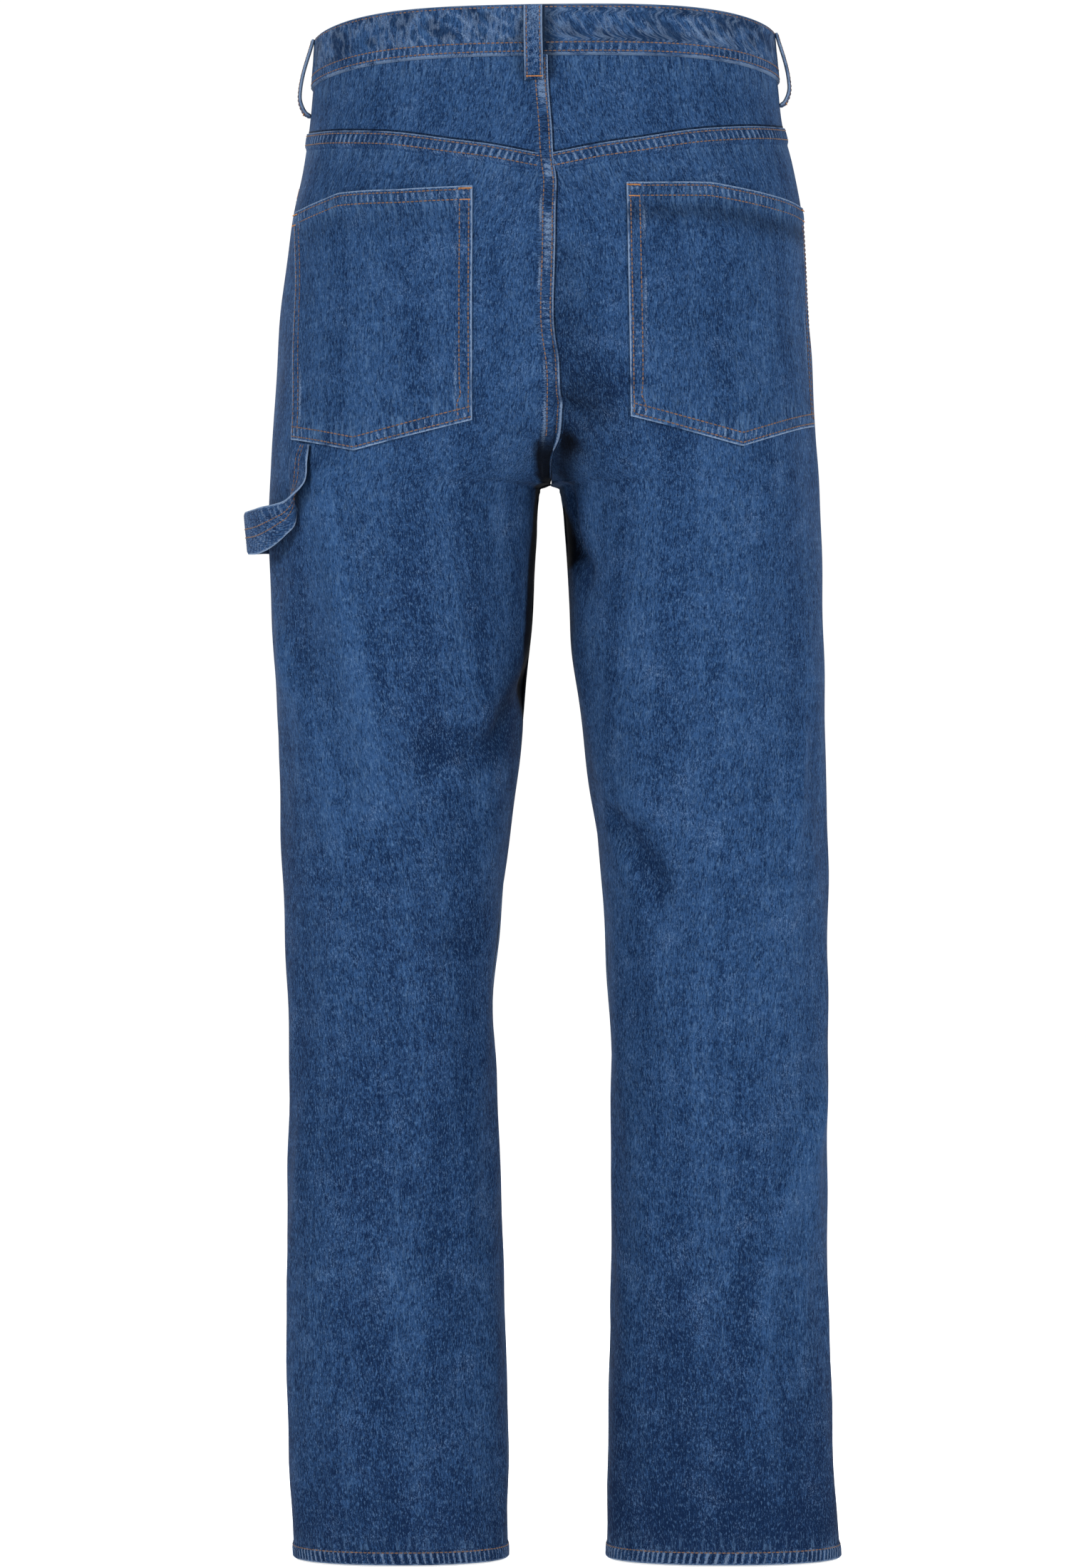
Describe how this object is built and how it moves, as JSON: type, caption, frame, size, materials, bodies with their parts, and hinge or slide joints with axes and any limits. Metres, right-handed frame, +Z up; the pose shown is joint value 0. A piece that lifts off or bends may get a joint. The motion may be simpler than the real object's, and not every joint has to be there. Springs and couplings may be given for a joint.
{
  "type": "carpenter jeans",
  "caption": "Loose straight-leg denim carpenter jeans, filled out hollow, with a V-shaped back yoke, large patch back pockets and a strap loop at the left hip.",
  "frame": {"origin": "centre of the waist opening, at half the waistband's height", "axes": "+Z up along the body, -Y to the front, +X to the wearer's left"},
  "size_m": [0.4262, 0.274, 1.0957],
  "materials": {
    "denim": "washed blue denim, matt",
    "brass": "aged copper tone, satin"
  },
  "bodies": {
    "root": {"waistband": "denim", "yoke_left": "denim", "yoke_right": "denim", "back_left": "denim", "back_right": "denim", "front_left": "denim", "front_right": "denim", "pocket_facing_left": "denim", "pocket_facing_right": "denim", "fly_shield": "denim", "waist_button": "brass", "back_pocket_left": "denim", "back_pocket_right": "denim", "hammer_loop": "denim", "belt_loop_back": "denim", "belt_loop_left": "denim", "belt_loop_right": "denim", "belt_loop_front_left": "denim", "belt_loop_front_right": "denim", "hem_left": "denim", "hem_right": "denim"}
  },
  "joints": []
}
